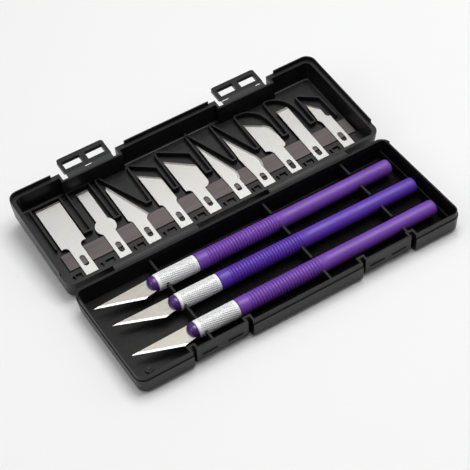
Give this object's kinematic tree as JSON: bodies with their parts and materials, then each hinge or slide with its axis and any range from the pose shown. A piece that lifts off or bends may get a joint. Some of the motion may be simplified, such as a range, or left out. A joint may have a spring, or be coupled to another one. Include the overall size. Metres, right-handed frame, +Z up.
{
  "type": "boxed craft knife set",
  "caption": "Hinged black plastic case, open, with slim round-handled craft knives in its ribbed tray and spare blades of different shapes on a magnetic strip in its lid.",
  "frame": {"origin": "centre of the tray's flat underside", "axes": "+X along the case towards the handle ends, +Y from the tray to the opened lid, +Z up out of the tray"},
  "size_m": [0.168, 0.134, 0.0195],
  "materials": {
    "case_black": "semi-matte moulded",
    "hinge_black": "flexed, slightly paler moulding",
    "magnet_grey": "matte brown grey",
    "handle_purple": "satin gloss",
    "chuck_silver": "bright knurled",
    "collet_purple": "gloss",
    "blade_steel": "satin"
  },
  "bodies": {
    "tray": {"case_tray": "case_black", "hinge_web_left": "hinge_black", "hinge_web_right": "hinge_black"},
    "lid": {"case_lid": "case_black", "magnet_strip": "magnet_grey", "latch_strip_left": "hinge_black", "latch_strip_right": "hinge_black"},
    "latch_left": {"latch_left": "case_black"},
    "latch_right": {"latch_right": "case_black"},
    "knife_1": {"knife_1_handle": "handle_purple"},
    "knife_1_chuck": {"knife_1_chuck": "chuck_silver"},
    "knife_1_collet": {"knife_1_collet": "collet_purple"},
    "knife_1_blade": {"knife_1_blade": "blade_steel"},
    "knife_2": {"knife_2_handle": "handle_purple"},
    "knife_2_chuck": {"knife_2_chuck": "chuck_silver"},
    "knife_2_collet": {"knife_2_collet": "collet_purple"},
    "knife_2_blade": {"knife_2_blade": "blade_steel"},
    "knife_3": {"knife_3_handle": "handle_purple"},
    "knife_3_chuck": {"knife_3_chuck": "chuck_silver"},
    "knife_3_collet": {"knife_3_collet": "collet_purple"},
    "knife_3_blade": {"knife_3_blade": "blade_steel"},
    "spare_wide_chisel_blade": {"spare_wide_chisel_blade": "blade_steel"},
    "spare_narrow_chisel_blade": {"spare_narrow_chisel_blade": "blade_steel"},
    "spare_pointed_blade": {"spare_pointed_blade": "blade_steel"},
    "spare_small_angled_blade": {"spare_small_angled_blade": "blade_steel"},
    "spare_large_angled_blade": {"spare_large_angled_blade": "blade_steel"},
    "spare_curved_point_blade_a": {"spare_curved_point_blade_a": "blade_steel"},
    "spare_curved_point_blade_b": {"spare_curved_point_blade_b": "blade_steel"},
    "spare_large_curved_blade": {"spare_large_curved_blade": "blade_steel"},
    "spare_straight_blade": {"spare_straight_blade": "blade_steel"},
    "spare_hooked_blade": {"spare_hooked_blade": "blade_steel"}
  },
  "joints": [
    {"name": "lid_hinge", "type": "hinge", "parent": "tray", "child": "lid", "pos_m": [0, 0.03218, 0.01155], "axis": [-1, 0, 0], "range_deg": [-174.46, 5.54], "deforming": ["hinge_web_left", "hinge_web_right"]},
    {"name": "latch_left_flip", "type": "hinge", "parent": "lid", "child": "latch_left", "pos_m": [0, 0.09381, 0.01733], "axis": [-1, 0, 0], "range_deg": [-90, 30], "deforming": ["latch_strip_left"]},
    {"name": "latch_right_flip", "type": "hinge", "parent": "lid", "child": "latch_right", "pos_m": [0, 0.09381, 0.01733], "axis": [-1, 0, 0], "range_deg": [-90, 30], "deforming": ["latch_strip_right"]},
    {"name": "knife_1_lift", "type": "slide", "parent": "tray", "child": "knife_1", "axis": [0, 0, 1], "range_m": [0, 0.025]},
    {"name": "knife_1_chuck_turn", "type": "hinge", "parent": "knife_1", "child": "knife_1_chuck", "pos_m": [-0.0495, 0.0167, 0.0073], "axis": [1, 0, 0], "range_deg": [0, 541]},
    {"name": "knife_1_collet_slide", "type": "slide", "parent": "knife_1", "child": "knife_1_collet", "axis": [-1, 0, 0], "range_m": [0, 0.00105]},
    {"name": "knife_1_blade_slide", "type": "slide", "parent": "knife_1_collet", "child": "knife_1_blade", "axis": [-1, 0, 0], "range_m": [0, 0.001]},
    {"name": "knife_2_lift", "type": "slide", "parent": "tray", "child": "knife_2", "axis": [0, 0, 1], "range_m": [0, 0.025]},
    {"name": "knife_2_chuck_turn", "type": "hinge", "parent": "knife_2", "child": "knife_2_chuck", "pos_m": [-0.0472, 0.00132, 0.0073], "axis": [1, -0.0095, 0], "range_deg": [0, 541]},
    {"name": "knife_2_collet_slide", "type": "slide", "parent": "knife_2", "child": "knife_2_collet", "axis": [-1, 0.0095, 0], "range_m": [0, 0.00105]},
    {"name": "knife_2_blade_slide", "type": "slide", "parent": "knife_2_collet", "child": "knife_2_blade", "axis": [-1, 0.0095, 0], "range_m": [0, 0.001]},
    {"name": "knife_3_lift", "type": "slide", "parent": "tray", "child": "knife_3", "axis": [0, 0, 1], "range_m": [0, 0.025]},
    {"name": "knife_3_chuck_turn", "type": "hinge", "parent": "knife_3", "child": "knife_3_chuck", "pos_m": [-0.0484, -0.01683, 0.0073], "axis": [1, 0, 0], "range_deg": [0, 541]},
    {"name": "knife_3_collet_slide", "type": "slide", "parent": "knife_3", "child": "knife_3_collet", "axis": [-1, 0, 0], "range_m": [0, 0.00105]},
    {"name": "knife_3_blade_slide", "type": "slide", "parent": "knife_3_collet", "child": "knife_3_blade", "axis": [-1, 0, 0], "range_m": [0, 0.001]},
    {"name": "spare_wide_chisel_blade_lift", "type": "slide", "parent": "lid", "child": "spare_wide_chisel_blade", "axis": [0, -0.0965, 0.9953], "range_m": [0, 0.015]},
    {"name": "spare_narrow_chisel_blade_lift", "type": "slide", "parent": "lid", "child": "spare_narrow_chisel_blade", "axis": [0, -0.0965, 0.9953], "range_m": [0, 0.015]},
    {"name": "spare_pointed_blade_lift", "type": "slide", "parent": "lid", "child": "spare_pointed_blade", "axis": [0, -0.0965, 0.9953], "range_m": [0, 0.015]},
    {"name": "spare_small_angled_blade_lift", "type": "slide", "parent": "lid", "child": "spare_small_angled_blade", "axis": [0, -0.0965, 0.9953], "range_m": [0, 0.015]},
    {"name": "spare_large_angled_blade_lift", "type": "slide", "parent": "lid", "child": "spare_large_angled_blade", "axis": [0, -0.0965, 0.9953], "range_m": [0, 0.015]},
    {"name": "spare_curved_point_blade_a_lift", "type": "slide", "parent": "lid", "child": "spare_curved_point_blade_a", "axis": [0, -0.0965, 0.9953], "range_m": [0, 0.015]},
    {"name": "spare_curved_point_blade_b_lift", "type": "slide", "parent": "lid", "child": "spare_curved_point_blade_b", "axis": [0, -0.0965, 0.9953], "range_m": [0, 0.015]},
    {"name": "spare_large_curved_blade_lift", "type": "slide", "parent": "lid", "child": "spare_large_curved_blade", "axis": [0, -0.0965, 0.9953], "range_m": [0, 0.015]},
    {"name": "spare_straight_blade_lift", "type": "slide", "parent": "lid", "child": "spare_straight_blade", "axis": [0, -0.0965, 0.9953], "range_m": [0, 0.015]},
    {"name": "spare_hooked_blade_lift", "type": "slide", "parent": "lid", "child": "spare_hooked_blade", "axis": [0, -0.0965, 0.9953], "range_m": [0, 0.015]}
  ],
  "couplings": [
    {"joint": "knife_1_chuck_turn", "follows": "knife_1_collet_slide", "rad_per_m": 8976},
    {"joint": "knife_2_chuck_turn", "follows": "knife_2_collet_slide", "rad_per_m": 8976},
    {"joint": "knife_3_chuck_turn", "follows": "knife_3_collet_slide", "rad_per_m": 8976}
  ]
}
